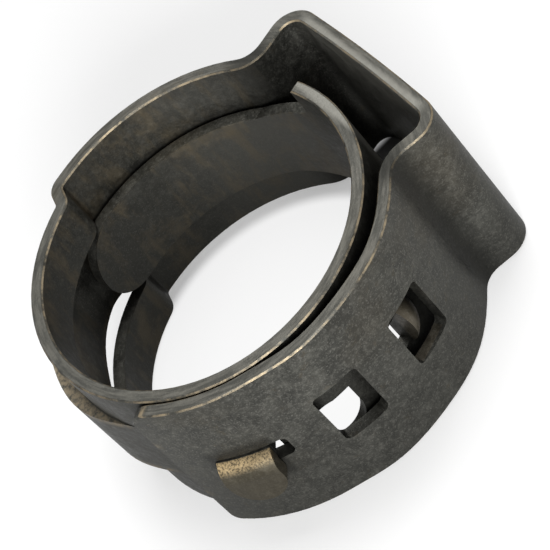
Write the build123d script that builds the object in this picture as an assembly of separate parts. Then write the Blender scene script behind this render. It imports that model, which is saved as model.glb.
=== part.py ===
from build123d import *
from math import asin, atan2, cos, degrees, radians, sin, sqrt, tan
import os

# Ear hose clamp: one strip of steel, wrapped a little more than once round a hose. The outer
# layer carries the ear and the windows, the inner layer carries the hooks, and the inner end
# runs on under the ear as a narrow tongue, so that no gap is left for the hose to bulge into.
#
# Frame: millimetres, Z is the hose axis, the middle of the ear lies along +X, and the origin
# is the middle of the bore. Angles are in degrees about Z, counter-clockwise seen from +Z.
# The strip is followed counter-clockwise: outer end, windows, ear, step, inner layer, tongue.

# ---- the strip -------------------------------------------------------------------------
bore_radius = 8.0
band_width = 10.0
strip_thickness = 0.65
rim_bevel = 0.08

# ---- where the layers lie, measured outwards from the inner layer -----------------------
lap_clearance = 0.08
lap_gap_below_window = 0.34
lap_gap_beside_window = 0.53
lap_gap_at_ear = 0.68
gap_past_ear = 0.29

# ---- stations along the strip ------------------------------------------------------------
outer_end_angle = -148.5
lap_opens_angle = -110.0
lap_below_window_angle = -94.0
lap_beside_window_angle = -73.5
step_start_angle = 103.0
raised_strip_rise_angle = 110.0
raised_strip_top_angle = 122.0
raised_strip_end_angle = 205.0
shoulder_angle = 374.0
tongue_tip_angle = 482.5

# ---- the ear -----------------------------------------------------------------------------
ear_height = 1.29
ear_length = 11.0
ear_lower_leg_lean = 8.5
ear_upper_leg_lean = 13.0
ear_foot_radius = 1.25
ear_corner_radius = 0.75
ear_crown = 0.22
ear_crown_spread = 0.75

# ---- the slit part past the ear: side strips step in, the middle strip stays out ----------
step_length = 1.62
step_lead = 0.55
step_bend_radius = 0.25
raised_strip_width = 4.64
raised_strip_lift = 0.72

# ---- the tongue ---------------------------------------------------------------------------
tongue_side_clearance = 0.08
tongue_root_width = 6.1
tongue_taper_length = 3.6
shoulder_fillet = 0.8

# ---- the outer end ------------------------------------------------------------------------
outer_end_front_corner = 1.2
outer_end_rear_corner = 0.5

# ---- windows in the outer layer -----------------------------------------------------------
window_width = 2.42
window_length = 3.55
window_corner = 0.28
load_window_angle = -66.0
next_window_angle = -93.7
slot_angle = -124.3
slot_width = 3.6
slot_length = 1.25
slot_corner = 0.3

# ---- locking hook: a flap lanced from the inner layer, folded over the outer layer ---------
lock_hook_angle = -126.6
lock_hook_width = 2.7
lock_hook_play = 0.1
lock_hook_reach = 2.2
lock_hook_bend = 0.28
lock_hook_fold = 0.34
lock_flap_hole_end = 3.1

# ---- round-ended hole of the inner layer, half under the middle window ----------------------
relief_hole_angle = -100.2
relief_hole_width = 2.84
relief_hole_front = -0.05
relief_hole_rear = -2.8

# ---- load hook: a half dome pressed out of the inner layer, open towards the outer end ------
load_hook_cut_angle = -66.6
load_hook_centre_angle = -68.3
load_hook_offset = -0.3
load_hook_radius = 1.5
load_hook_height = 0.95
load_slot_front = 0.17
load_slot_rear = -1.65
load_slot_width = 1.6

# ---- worked out from the sizes above --------------------------------------------------------
inner_layer_outside = bore_radius + strip_thickness
layer_parting = inner_layer_outside + lap_clearance / 2
outer_layer_tight = inner_layer_outside + lap_clearance
outer_layer_at_ear = inner_layer_outside + lap_gap_at_ear
outer_layer_past_ear = inner_layer_outside + gap_past_ear
ear_roof_distance = outer_layer_at_ear + ear_height
step_end_angle = step_start_angle + degrees(step_length / bore_radius)
tongue_width = raised_strip_width - 2 * tongue_side_clearance
reach = ear_roof_distance + ear_length


def polar(radius, angle):
    return Vector(radius * cos(radians(angle)), radius * sin(radians(angle)))


def heading(angle):
    """Direction of travel, counter-clockwise, at this angle on a circle about the bore axis."""
    return Vector(-sin(radians(angle)), cos(radians(angle)))


def round_run(radius, start, end):
    """Stretch of strip that is concentric with the bore, by the radius of its inner face."""
    return ThreePointArc(polar(radius, start), polar(radius, (start + end) / 2), polar(radius, end)).edge()


def free_run(*stations):
    """Stretch that changes its distance from the axis, through stations of angle and radius."""
    points = [polar(radius, angle) for angle, radius in stations]
    ends = [heading(stations[0][0]), heading(stations[-1][0])]
    return Spline(*points, tangents=ends).edge()


def bent_run(points, radii):
    """Straight stretches joined by bends, one radius for each corner between the end points."""
    edges = []
    start = points[0]
    for before, corner, after, radius in zip(points, points[1:], points[2:], radii):
        way_in = (corner - before).normalized()
        way_out = (after - corner).normalized()
        turn = radians(way_in.get_angle(way_out))
        setback = radius * tan(turn / 2)
        bend_start = corner - way_in * setback
        bend_end = corner + way_out * setback
        edges.append(Line(start, bend_start).edge())
        edges.append(TangentArc(bend_start, bend_end, tangent=way_in).edge())
        start = bend_end
    edges.append(Line(start, points[-1]).edge())
    return edges


def ear_foot(side, layer_radius, lean):
    """Foot of the ear's leg, where a bend leads from the round layer to the leaning leg.

    Side is -1 for the lower leg and 1 for the upper one. Gives the angle at which the bend
    leaves the layer, the two ends of the bend and the inside corner of the roof.
    """
    bend = ear_foot_radius + strip_thickness
    corner = Vector(ear_roof_distance, side * ear_length / 2)
    leg = Vector(cos(radians(lean)), side * sin(radians(lean)))
    away = Vector(-sin(radians(lean)), side * cos(radians(lean)))
    beside = corner + away * bend
    along = beside.dot(leg)
    back = sqrt(along ** 2 - beside.dot(beside) + (layer_radius + bend) ** 2) - along
    centre = beside + leg * back
    foot_angle = degrees(atan2(centre.Y, centre.X))
    return foot_angle, polar(layer_radius, foot_angle), centre - away * bend, corner


def outer_side(edge):
    """The same stretch on the strip's outer face, one thickness away."""
    def moved(share):
        way = edge.tangent_at(share)
        return edge.position_at(share) + Vector(way.Y, -way.X) * strip_thickness

    if edge.geom_type == GeomType.LINE:
        return Line(moved(0), moved(1)).edge()
    if edge.geom_type == GeomType.CIRCLE:
        return ThreePointArc(moved(0), moved(0.5), moved(1)).edge()
    samples = 16
    points = [moved(step / samples) for step in range(samples + 1)]
    return Spline(*points, tangents=[edge.tangent_at(0), edge.tangent_at(1)]).edge()


def strip(path, low, high):
    """Solid strip along a path of inner-face edges, between two heights along the bore axis."""
    outside = [outer_side(edge) for edge in path]
    first_cut = Line(path[0].position_at(0), outside[0].position_at(0)).edge()
    last_cut = Line(path[-1].position_at(1), outside[-1].position_at(1)).edge()
    outline = Wire(path + [last_cut] + outside + [first_cut])
    return extrude(Pos(0, 0, low) * Face(outline), amount=high - low, dir=(0, 0, 1))


def ring(inner_radius, outer_radius):
    """Tube as wide as the band, used to hold a cut to one layer."""
    tube = Cylinder(outer_radius, 2 * band_width)
    if inner_radius > 0:
        tube -= Cylinder(inner_radius, 3 * band_width)
    return tube


def facing(angle):
    """Plane through the axis that faces outwards at this angle: X runs round the band, Y up it."""
    out = polar(1, angle)
    return Plane(origin=(0, 0, 0), x_dir=heading(angle), z_dir=out)


def punched(angle, sketch):
    """Straight punch of this outline, driven outwards from the axis at this angle."""
    return extrude(facing(angle) * sketch, amount=reach)


def outer_layer_run(ear_foot_angle):
    """From the outer end round to the lower foot of the ear."""
    tight = round_run(outer_layer_tight, outer_end_angle, lap_opens_angle)
    opening = free_run(
        (lap_opens_angle, outer_layer_tight),
        (lap_below_window_angle, inner_layer_outside + lap_gap_below_window),
        (lap_beside_window_angle, inner_layer_outside + lap_gap_beside_window),
        (ear_foot_angle, outer_layer_at_ear),
    )
    return [tight, opening]


def ear_run(lower, upper):
    """Lower foot, leg, crowned roof, leg and upper foot of the ear."""
    lower_angle, lower_start, lower_end, lower_corner = lower
    upper_angle, upper_end, upper_start, upper_corner = upper
    crown = Vector(ear_roof_distance + ear_crown, 0)
    crown_turn = 2 * atan2(ear_crown, ear_length / 2)
    crown_radius = ear_crown_spread * ear_length / 2 / tan(crown_turn / 2)
    over = bent_run(
        [lower_end, lower_corner, crown, upper_corner, upper_start],
        [ear_corner_radius, crown_radius, ear_corner_radius],
    )
    way_out = (upper_start - upper_corner).normalized()
    first = TangentArc(lower_start, lower_end, tangent=heading(lower_angle)).edge()
    last = TangentArc(upper_start, upper_end, tangent=way_out).edge()
    return [first] + over + [last]


def side_strip_run():
    """The outer strips of the slit part: a ramp down to the inner layer, then along it."""
    top = polar(outer_layer_past_ear, step_start_angle)
    foot = polar(bore_radius, step_end_angle)
    points = [
        top,
        top + heading(step_start_angle) * step_lead,
        foot - heading(step_end_angle) * step_lead,
        foot,
    ]
    ramp = bent_run(points, [step_bend_radius, step_bend_radius + strip_thickness])
    return ramp + [round_run(bore_radius, step_end_angle, raised_strip_end_angle)]


def raised_strip_run():
    """The middle strip of the slit part: it rises over the tongue's tip and comes in gently."""
    full_lift = inner_layer_outside + raised_strip_lift
    level = round_run(outer_layer_past_ear, step_start_angle, raised_strip_rise_angle)
    rise = free_run(
        (raised_strip_rise_angle, outer_layer_past_ear),
        (raised_strip_top_angle, full_lift),
    )
    span = raised_strip_end_angle - raised_strip_top_angle
    fall = free_run(
        (raised_strip_top_angle, full_lift),
        (raised_strip_top_angle + 0.33 * span, inner_layer_outside + 0.23 * raised_strip_lift),
        (raised_strip_top_angle + 0.69 * span, inner_layer_outside),
        (raised_strip_end_angle, bore_radius),
    )
    return [level, rise, fall]


def bent_strip():
    half = band_width / 2
    slit = raised_strip_width / 2
    lower = ear_foot(-1, outer_layer_at_ear, ear_lower_leg_lean)
    upper = ear_foot(1, outer_layer_past_ear, ear_upper_leg_lean)
    outer_layer = outer_layer_run(lower[0]) + ear_run(lower, upper)
    outer_layer.append(round_run(outer_layer_past_ear, upper[0], step_start_angle))
    body = strip(outer_layer, -half, half)
    body += strip(side_strip_run(), slit, half)
    body += strip(side_strip_run(), -half, -slit)
    body += strip(raised_strip_run(), -slit, slit)
    body += strip([round_run(bore_radius, raised_strip_end_angle, shoulder_angle)], -half, half)
    return body


def tongue():
    """Narrow inner end: it tapers away from a full-width shoulder and ends in a half round."""
    half = tongue_width / 2
    root = tongue_root_width / 2
    rim = band_width / 2
    overlap = 2 * shoulder_fillet
    inner_layer = ring(bore_radius, inner_layer_outside)
    outline = Polyline(
        (-overlap, -rim), (0, -rim), (0, -root), (tongue_taper_length, -half),
        (tongue_taper_length, half), (0, root), (0, rim), (-overlap, rim), close=True,
    )
    shoulder = make_face(outline)
    shoulder = fillet(shoulder.vertices().filter_by(lambda v: abs(v.X) < 0.01), shoulder_fillet)
    body = punched(shoulder_angle, shoulder) & inner_layer
    taper_angle = degrees(asin(tongue_taper_length / inner_layer_outside))
    tip_angle = degrees(asin(half / (bore_radius + strip_thickness / 2)))
    round_start = tongue_tip_angle - tip_angle
    body += strip([round_run(bore_radius, shoulder_angle + taper_angle, round_start)], -half, half)
    tip = Circle(half) - Pos(-half, 0) * Rectangle(2 * half, 4 * half)
    body += punched(round_start, tip) & inner_layer
    return body


def round_ended(width, front, rear):
    """Outline with a straight front end and a half-round rear end, along the bore axis."""
    straight = front - rear - width / 2
    outline = Pos(0, front - straight / 2) * Rectangle(width, straight)
    return outline + Pos(0, rear + width / 2) * Circle(width / 2)


def lock_hook_wall():
    """Height along the axis of the hook's standing wall, close behind the slot's front edge."""
    return slot_length / 2 - lock_hook_play - strip_thickness / 2


def lock_hook():
    """Folded flap: up from the inner layer, through the slot, back over the outer layer."""
    inside = bore_radius + strip_thickness / 2
    outside = outer_layer_tight + strip_thickness + lock_hook_play + strip_thickness / 2
    wall = lock_hook_wall()
    root = 2 * (lock_hook_bend + strip_thickness)
    tip = -lock_hook_reach - strip_thickness
    path = FilletPolyline(
        (inside, wall + root), (inside, wall), (outside, wall), (outside, tip),
        radius=[lock_hook_bend + strip_thickness / 2, lock_hook_fold + strip_thickness / 2],
    )
    section = Plane.XZ * trace(path, line_width=strip_thickness)
    spread = 4 * degrees(asin(lock_hook_width / 2 / bore_radius))
    flap = Rot(0, 0, lock_hook_angle - spread / 2) * revolve(section, axis=Axis.Z, revolution_arc=spread)
    return flap & punched(lock_hook_angle, round_ended(lock_hook_width, wall + root, -lock_hook_reach))


def load_hook():
    """Half dome, open towards the outer end of the strip, its rim one thickness thick."""
    rise = load_hook_height
    sphere_radius = (load_hook_radius ** 2 + rise ** 2) / (2 * rise)
    middle_height = inner_layer_outside + rise - sphere_radius
    place = facing(load_hook_centre_angle) * Pos(0, load_hook_offset, middle_height) * Rot(0, 90, 0)
    ball = place * Sphere(sphere_radius)
    hollow = place * Sphere(sphere_radius - strip_thickness)
    half_width = 2 * load_hook_radius
    ear_side = punched(load_hook_cut_angle, Pos(half_width, 0) * Rectangle(2 * half_width, 2 * half_width))
    kept = ear_side & ring(bore_radius, reach)
    return kept & ball, ear_side & hollow


def outer_end_corners():
    """What is trimmed off the two corners of the outer end."""
    trims = []
    for side, radius in ((1, outer_end_front_corner), (-1, outer_end_rear_corner)):
        rim = side * band_width / 2
        square = Pos(radius / 2, rim - side * radius / 2) * Rectangle(radius, radius)
        trims.append(square - Pos(radius, rim - side * radius) * Circle(radius))
    return trims


def clamp():
    body = bent_strip() + tongue()
    outer_layer = ring(layer_parting, reach)
    inner_layer = ring(0, layer_parting)

    window = RectangleRounded(window_width, window_length, window_corner)
    for angle in (load_window_angle, next_window_angle):
        body -= punched(angle, window) & outer_layer
    slot = RectangleRounded(slot_width, slot_length, slot_corner)
    body -= punched(slot_angle, slot) & outer_layer
    for trim in outer_end_corners():
        body -= punched(outer_end_angle, trim) & outer_layer

    flap_root = lock_hook_wall() + lock_hook_bend + strip_thickness / 2
    flap_hole = round_ended(lock_hook_width + 2 * lock_hook_play, flap_root, -lock_flap_hole_end)
    body -= punched(lock_hook_angle, flap_hole) & inner_layer
    relief = round_ended(relief_hole_width, relief_hole_front, relief_hole_rear)
    body -= punched(relief_hole_angle, relief) & inner_layer
    body += lock_hook()

    dome, hollow = load_hook()
    slot_height = load_slot_front - load_slot_rear
    beside = Pos(-load_slot_width / 2, load_slot_rear + slot_height / 2) * Rectangle(load_slot_width, slot_height)
    body -= punched(load_hook_cut_angle, beside) & inner_layer
    body += dome
    body -= hollow
    return bevelled(body)


def bevelled(body):
    """The body with both rims bevelled, as the shear leaves the edges of the strip."""
    levels = body.edges().group_by(Axis.Z)
    return chamfer(levels[0] + levels[-1], rim_bevel)


if __name__ == "__main__":
    os.makedirs("parts", exist_ok=True)
    body = clamp()
    body.label = "clamp_band"
    export_step(body, "parts/clamp_band.step")
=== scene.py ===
import math

import bmesh
import bpy
from mathutils import Matrix, Vector


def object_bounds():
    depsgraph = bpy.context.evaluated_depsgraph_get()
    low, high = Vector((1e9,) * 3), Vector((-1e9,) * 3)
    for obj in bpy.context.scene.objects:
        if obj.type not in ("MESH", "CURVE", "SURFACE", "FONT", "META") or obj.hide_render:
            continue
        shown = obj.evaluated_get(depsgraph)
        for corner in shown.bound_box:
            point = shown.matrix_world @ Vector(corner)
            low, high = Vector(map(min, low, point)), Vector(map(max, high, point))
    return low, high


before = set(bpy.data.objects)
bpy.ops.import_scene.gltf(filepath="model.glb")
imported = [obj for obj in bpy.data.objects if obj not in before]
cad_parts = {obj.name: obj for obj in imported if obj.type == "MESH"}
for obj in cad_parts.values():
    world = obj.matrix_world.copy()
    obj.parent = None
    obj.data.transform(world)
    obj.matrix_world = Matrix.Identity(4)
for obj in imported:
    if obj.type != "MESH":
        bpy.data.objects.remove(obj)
cad_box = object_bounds()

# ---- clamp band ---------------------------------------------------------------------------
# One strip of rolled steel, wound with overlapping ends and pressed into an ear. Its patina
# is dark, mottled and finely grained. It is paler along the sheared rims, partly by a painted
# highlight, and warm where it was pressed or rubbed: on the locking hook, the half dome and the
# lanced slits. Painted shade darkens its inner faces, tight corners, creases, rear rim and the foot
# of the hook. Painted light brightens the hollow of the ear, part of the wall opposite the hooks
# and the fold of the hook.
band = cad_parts["clamp_band"]
MM = 0.001


def add_node(tree, kind, settings, sockets, output=0):
    """Adds a node, sets it up, then gives its sockets their numbers, colours or links."""
    node = tree.nodes.new(kind)
    for name, setting in settings.items():
        setattr(node, name, setting)
    for key, item in sockets.items():
        if isinstance(item, Value):
            tree.links.new(item.socket, node.inputs[key])
        else:
            node.inputs[key].default_value = item
    return Value(tree, node.outputs[output])


class Value:
    """An output socket that takes part in sums as a number does."""

    def __init__(self, tree, socket):
        self.tree = tree
        self.socket = socket

    def maths(self, operation, first, second=0.0):
        return add_node(self.tree, "ShaderNodeMath", {"operation": operation}, {0: first, 1: second})

    def __add__(self, other):
        return self.maths("ADD", self, other)

    def __radd__(self, other):
        return self.maths("ADD", other, self)

    def __sub__(self, other):
        return self.maths("SUBTRACT", self, other)

    def __rsub__(self, other):
        return self.maths("SUBTRACT", other, self)

    def __mul__(self, other):
        return self.maths("MULTIPLY", self, other)

    def __rmul__(self, other):
        return self.maths("MULTIPLY", other, self)

    def __pow__(self, other):
        return self.maths("POWER", self, other)

    def __abs__(self):
        return self.maths("ABSOLUTE", self)

    def fade(self, start, end, low=0.0, high=1.0):
        """Smooth step from low at start to high at end."""
        ends = {"Value": self, "From Min": start, "From Max": end, "To Min": low, "To Max": high}
        return add_node(self.tree, "ShaderNodeMapRange", {"interpolation_type": "SMOOTHSTEP"}, ends)

    def near(self, centre, half, soft):
        """1 within half of the centre, fading to 0 over the soft distance."""
        return abs(self - centre).fade(half, half + soft, 1.0, 0.0)


class Surface:
    """A node material with one Principled shader, patterned in the object's coordinates."""

    def __init__(self, name):
        self.material = bpy.data.materials.new(name)
        self.material.use_nodes = True
        self.tree = self.material.node_tree
        self.shader = self.tree.nodes["Principled BSDF"]
        self.place = self.node("ShaderNodeTexCoord", {}, {}, "Object")
        self.x, self.y, self.z = (
            self.node("ShaderNodeSeparateXYZ", {}, {"Vector": self.place}, axis) for axis in "XYZ"
        )

    def node(self, kind, settings, sockets, output=0):
        return add_node(self.tree, kind, settings, sockets, output)

    def noise(self, per_metre, detail, roughness, stretch=(1, 1, 1), where=None):
        """Soft noise from 0 to 1, in the object's coordinates or in those given."""
        sockets = {0: where or self.place, 1: stretch}
        place = self.node("ShaderNodeVectorMath", {"operation": "MULTIPLY"}, sockets)
        sockets = {"Vector": place, "Scale": per_metre, "Detail": detail, "Roughness": roughness}
        return self.node("ShaderNodeTexNoise", {}, sockets)

    def mix(self, share, first, second):
        """Colour that goes from the first to the second as the share goes from 0 to 1."""
        first, second = (item if isinstance(item, Value) else (*item, 1) for item in (first, second))
        return self.node("ShaderNodeMix", {"data_type": "RGBA"}, {0: share, 6: first, 7: second}, 2)

    def set(self, name, item):
        if isinstance(item, Value):
            self.tree.links.new(item.socket, self.shader.inputs[name])
        else:
            self.shader.inputs[name].default_value = item


steel = Surface("clamp_steel")
radius = (steel.x * steel.x + steel.y * steel.y) ** 0.5
height = abs(steel.z)
inner_face = 8.00 * MM
inner_layer_back = 8.65 * MM
outer_face = 9.38 * MM
rim_height = 5.00 * MM


def turned(surface, degrees):
    """Distances along the tangent and outwards at this angle round the band, in metres."""
    c = math.cos(math.radians(degrees))
    s = math.sin(math.radians(degrees))
    return surface.y * c - surface.x * s, surface.x * c + surface.y * s


# the rolled skin, from its broad patches to its finest specks
patch = steel.noise(150, 4, 0.55)
cloud = steel.noise(900, 5, 0.70)
fleck = steel.noise(1500, 4, 0.70)
grain = steel.noise(3600, 3, 0.65)
speck = steel.noise(11000, 2, 0.60)

# painted shade: darker towards the rear rim
rear_rim_shade = steel.z.fade(-rim_height, 3.5 * MM, 1.0, 0.0)

# painted light: the hollow of the ear is paler, and the painted shade below is mostly kept out of it
ear_hollow_light = steel.y.near(0, 4.2 * MM, 1.0 * MM) * steel.x.near(9.6 * MM, 1.3 * MM, 0.3 * MM)

# painted shade wherever the surface sees little of its surroundings
occlusion = {"samples": 8, "only_local": True}
openness = steel.node("ShaderNodeAmbientOcclusion", occlusion, {"Distance": 2.2 * MM}, "AO")
occlusion_shade = openness.fade(0.25, 0.95, 1.0, 0.0) * (1 - ear_hollow_light * 0.8)

# painted shade along the roots of the ear's two legs
leg_root_side, leg_root_out = 5.6 * MM, 7.9 * MM
crease_shade = abs(steel.y).near(leg_root_side, 0.30 * MM, 1.3 * MM)
crease_shade = crease_shade * steel.x.near(leg_root_out, 0.30 * MM, 1.5 * MM)
crease_shade = crease_shade * radius.fade(8.75 * MM, 8.95 * MM)

# rims: a sheared flat with marks that run round it, between two bevels rubbed bright; the bevels'
# bronze is partly wear and partly a painted highlight
rim = height.fade(rim_height - 0.10 * MM, rim_height - 0.07 * MM)
bevel = rim * height.fade(rim_height - 0.025 * MM, rim_height - 0.002 * MM, 1.0, 0.0)
bevel_wear_and_highlight = steel.noise(1300, 5, 0.70).fade(0.38, 0.62)
along_rim = 0.12
rim_place = {0: radius, 1: steel.x * along_rim, 2: steel.y * along_rim}
across_strip = steel.node("ShaderNodeCombineXYZ", {}, rim_place)
shear_marks = steel.noise(5200, 4, 0.65, where=across_strip).fade(0.36, 0.64)

# locking hook: a painted highlight along the fold, brightest towards the outer end, and a painted
# shadow round its foot
hook_angle = -126.6
hook_half_width = 1.42 * MM
fold_height = 0.52 * MM
hook_side, hook_out = turned(steel, hook_angle)
hook = hook_side.near(0, hook_half_width, 0.05 * MM)
hook = hook * radius.fade(outer_face + 0.02 * MM, outer_face + 0.06 * MM)
hook = hook * hook_out.near(9.7 * MM, 0.9 * MM, 0.1 * MM)
fold_highlight = steel.z.near(fold_height, 0.05 * MM, 0.50 * MM) * hook
fold_highlight = fold_highlight * hook_side.fade(-0.9 * MM, 1.4 * MM, 1.0, 0.45)
hook_foot_shadow = hook_side.near(0, 1.40 * MM, 0.40 * MM) * steel.z.near(-0.3 * MM, 1.3 * MM, 0.5 * MM)
hook_foot_shadow = hook_foot_shadow * radius.near(9.37 * MM, 0.02 * MM, 0.02 * MM) * (1 - hook)

# half dome in the window by the ear
dome_angle = -68.3
dome_height = -0.3 * MM
dome_side, dome_out = turned(steel, dome_angle)
dome = dome_side.near(0.35 * MM, 0.9 * MM, 0.1 * MM) * steel.z.near(dome_height, 1.45 * MM, 0.1 * MM)
dome = dome * radius.fade(inner_layer_back + 0.01 * MM, inner_layer_back + 0.20 * MM)
dome = dome * dome_out.near(9.2 * MM, 0.55 * MM, 0.05 * MM)

# lanced edges of the middle strip, on the far side from the ear
slit_height = 2.30 * MM
lanced = height.near(slit_height, 0.10 * MM, 0.35 * MM)
lanced = lanced * steel.x.fade(-5.2 * MM, -4.0 * MM, 1.0, 0.0) * steel.y.fade(-5.4 * MM, -4.6 * MM)
lanced = lanced * radius.fade(inner_layer_back + 0.01 * MM, inner_layer_back + 0.10 * MM)

# inner faces of both layers carry painted shade; the wall opposite the hooks has tan stains and
# smears, and a painted sheen
inner = radius.fade(inner_face + 0.03 * MM, inner_face + 0.10 * MM, 1.0, 0.0)
inner = inner + radius.near(8.95 * MM, 0.30 * MM, 0.05 * MM)
far_wall = inner * steel.y.fade(1.0 * MM, 4.0 * MM)
stain = far_wall * steel.noise(260, 5, 0.65).fade(0.48, 0.66)
smears = far_wall * steel.noise(1100, 4, 0.65, (1, 1, 0.25)).fade(0.48, 0.66)
# painted sheen, lighter towards +x on the wall opposite the hooks
far_wall_sheen = far_wall * steel.x.fade(0.5 * MM, 5.0 * MM)

# colours of the skin, its wear, and the painted light and shade
dark = (0.062, 0.062, 0.055)
mid = (0.098, 0.097, 0.085)
pale = (0.200, 0.196, 0.174)
brown = (0.110, 0.088, 0.055)
# darkest painted shade, for tight corners, creases and the hook's foot
deep_shade = (0.014, 0.014, 0.012)
# dark colour of painted shade and of the rims' shear marks
dark_shade_and_marks = (0.040, 0.040, 0.035)
worn_rim = (0.108, 0.104, 0.090)
tan = (0.20, 0.16, 0.10)
olive = (0.088, 0.073, 0.046)
bronze = (0.36, 0.29, 0.19)
# gold of the painted highlight on the hook's fold
gold_highlight = (0.80, 0.60, 0.33)

# laid over each other from the plain skin to the painted shade
colour = steel.mix(cloud.fade(0.30, 0.70), dark, mid)
colour = steel.mix(grain.fade(0.46, 0.76, 0.0, 0.36), colour, pale)
colour = steel.mix(speck.fade(0.50, 0.74, 0.0, 0.80), colour, pale)
colour = steel.mix(fleck.fade(0.58, 0.76, 0.0, 0.50), colour, brown)
colour = steel.mix(patch.fade(0.50, 0.72, 0.0, 0.25), colour, brown)
# painted shade on the inner faces
colour = steel.mix(inner * 0.55, colour, dark_shade_and_marks)
# painted sheen on the wall opposite the hooks
colour = steel.mix(far_wall_sheen * 0.40, colour, pale)
colour = steel.mix(smears * 0.35, colour, tan)
colour = steel.mix(stain * 0.50, colour, tan)
colour = steel.mix(rim * 0.75, colour, steel.mix(shear_marks, dark_shade_and_marks, worn_rim))
# painted light in the hollow of the ear
colour = steel.mix(ear_hollow_light * 0.8, colour, pale)
# bevels: wear and a painted highlight
colour = steel.mix(bevel * bevel_wear_and_highlight * 0.75, colour, bronze)
colour = steel.mix(lanced * grain.fade(0.30, 0.62) * 0.6, colour, bronze)
# painted shade towards the rear rim
colour = steel.mix(rear_rim_shade * 0.40, colour, dark_shade_and_marks)
# painted shadow round the hook's foot
colour = steel.mix(hook_foot_shadow * 0.60, colour, deep_shade)
colour = steel.mix(hook * 0.65, colour, olive)
# painted highlight along the hook's fold
colour = steel.mix(fold_highlight * speck.fade(0.36, 0.58, 0.20, 1.0), colour, gold_highlight)
colour = steel.mix(dome * 0.25, colour, bronze)
# painted shade where the surface sees little of its surroundings
colour = steel.mix(occlusion_shade * 0.65, colour, deep_shade)
# painted shade along the roots of the ear's legs
colour = steel.mix(crease_shade * 0.78, colour, deep_shade)

# rubbed places are smoother, and the grain stands out a little
polish = fold_highlight * 0.10 + dome * 0.05
roughness = cloud.fade(0.3, 0.7, 0.38, 0.52) + (grain - 0.5) * 0.3 - polish + rim * 0.06
relief = {"Height": grain * 0.6 + speck * 0.3 + cloud * 0.4, "Strength": 0.40, "Distance": 0.03 * MM}
steel.set("Base Color", colour)
steel.set("Metallic", 0.88)
steel.set("Roughness", roughness)
steel.set("Normal", steel.node("ShaderNodeBump", {}, relief))
band.data.materials.clear()
band.data.materials.append(steel.material)

# ---- floor and surroundings ---------------------------------------------------------------
# A sheet of white paper that keeps the soft shadow. To the camera and in the metal's sheen it
# is partly plain white, as the room is. It is dark where only the hollow of the ear shows it.
floor_reach = 600 * MM
floor_level = cad_box[0][2] - 0.02 * MM
floor_mesh = bpy.data.meshes.new("floor")
floor_build = bmesh.new()
bmesh.ops.create_grid(floor_build, x_segments=8, y_segments=8, size=floor_reach)
floor_build.to_mesh(floor_mesh)
floor_build.free()
floor_mesh.transform(Matrix.Translation((0, 0, floor_level)))
floor = bpy.data.objects.new("floor", floor_mesh)
bpy.context.collection.objects.link(floor)
paper = Surface("floor_paper")
paper.set("Roughness", 0.9)
camera_ray = paper.node("ShaderNodeLightPath", {}, {}, "Is Camera Ray")
glossy_ray = paper.node("ShaderNodeLightPath", {}, {}, "Is Glossy Ray")
under_ear = paper.x.near(9.8 * MM, 1.0 * MM, 0.3 * MM) * paper.y.near(0.0, 5.0 * MM, 0.6 * MM)
from_axis = (paper.x * paper.x + paper.y * paper.y) ** 0.5
in_bore = from_axis.near(0, 7.8 * MM, 0.9 * MM)
far_off = from_axis.fade(35 * MM, 80 * MM)

# little of its light falls back on the metal, and its dark patch stands for deep shadow
unseen_grey = (0.30, 0.30, 0.30)
seen_white = (0.76, 0.76, 0.76)
deep_shadow = (0.13, 0.13, 0.13)
sheet = paper.mix(camera_ray, unseen_grey, seen_white)
paper.set("Base Color", paper.mix(under_ear, sheet, deep_shadow))

# plain white share: the most where no shadow is wanted, in the bore and far off
plain_seen = 0.36 + in_bore * 0.48 + far_off * 0.64
plain_share = (camera_ray * plain_seen + glossy_ray * 0.20) * (1 - under_ear)
lit_paper = Value(paper.tree, paper.shader.outputs[0])
plain_white = paper.node("ShaderNodeEmission", {}, {"Strength": 1.0})
surface = paper.node("ShaderNodeMixShader", {}, {0: plain_share, 1: lit_paper, 2: plain_white})
paper.tree.links.new(surface.socket, paper.tree.nodes["Material Output"].inputs["Surface"])
floor_mesh.materials.append(paper.material)

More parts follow.
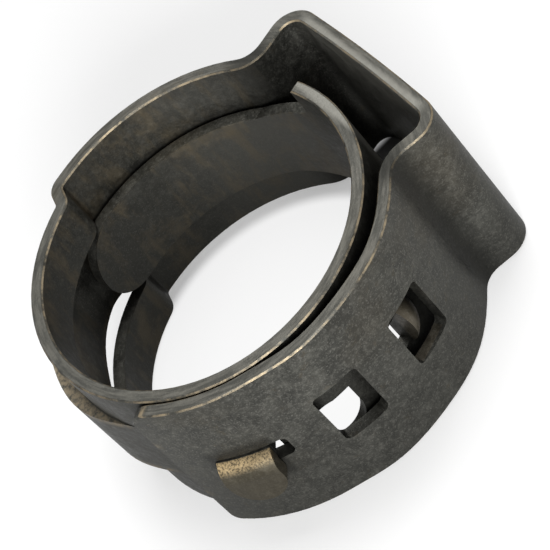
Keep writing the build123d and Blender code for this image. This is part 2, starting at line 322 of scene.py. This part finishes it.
# the room: white to the camera, half as bright in the metal's sheen, and dim as a light
room_glow = 0.20
room = bpy.data.worlds.new("studio")
bpy.context.scene.world = room
room.use_nodes = True
room_camera = add_node(room.node_tree, "ShaderNodeLightPath", {}, {}, "Is Camera Ray")
room_glossy = add_node(room.node_tree, "ShaderNodeLightPath", {}, {}, "Is Glossy Ray")
room_strength = room_camera * (1 - room_glow) + room_glossy * 0.35 + room_glow
room_shader = room.node_tree.nodes["Background"]
room_shader.inputs["Color"].default_value = (1, 1, 1, 1)
room.node_tree.links.new(room_strength.socket, room_shader.inputs["Strength"])


# ---- lamps --------------------------------------------------------------------------------
# Two square softboxes. The key hangs almost overhead, a little behind the clamp and to the side
# of its ear, and the fill stands low in front of the windows.
def softbox(name, direction, distance, size, power):
    """Square lamp at this distance from the origin, facing it."""
    lamp = bpy.data.lights.new(name, "AREA")
    lamp.size = size
    lamp.energy = power
    box = bpy.data.objects.new(name, lamp)
    bpy.context.collection.objects.link(box)
    way = Vector(direction).normalized()
    facing = way.to_track_quat("Z", "Y").to_matrix().to_4x4()
    box.matrix_world = Matrix.Translation(way * distance) @ facing


softbox("key", (0.24, 0.28, 1.0), distance=0.30, size=0.20, power=0.85)
softbox("fill", (-0.30, -1.0, 0.45), distance=0.24, size=0.12, power=0.95)

# ---- camera -------------------------------------------------------------------------------
# It looks down into the bore from the side of the windows, turned so that the ear points up
# and to the right.
eye = Vector((-0.0038166, -0.0878979, 0.0896325))
across = Vector((0.69652309, -0.53369861, -0.47960544))
upwards = Vector((0.71649612, 0.4813765, 0.5048861))
camera_data = bpy.data.cameras.new("camera")
camera_data.sensor_width = 36
camera_data.lens = 177.47
camera_data.shift_x = 0.0023455
camera_data.shift_y = 0.0176727
camera = bpy.data.objects.new("camera", camera_data)
bpy.context.collection.objects.link(camera)
turn = Matrix((across, upwards, across.cross(upwards))).transposed().to_4x4()
camera.matrix_world = Matrix.Translation(eye) @ turn
bpy.context.scene.camera = camera
bpy.context.scene.view_settings.view_transform = "Standard"
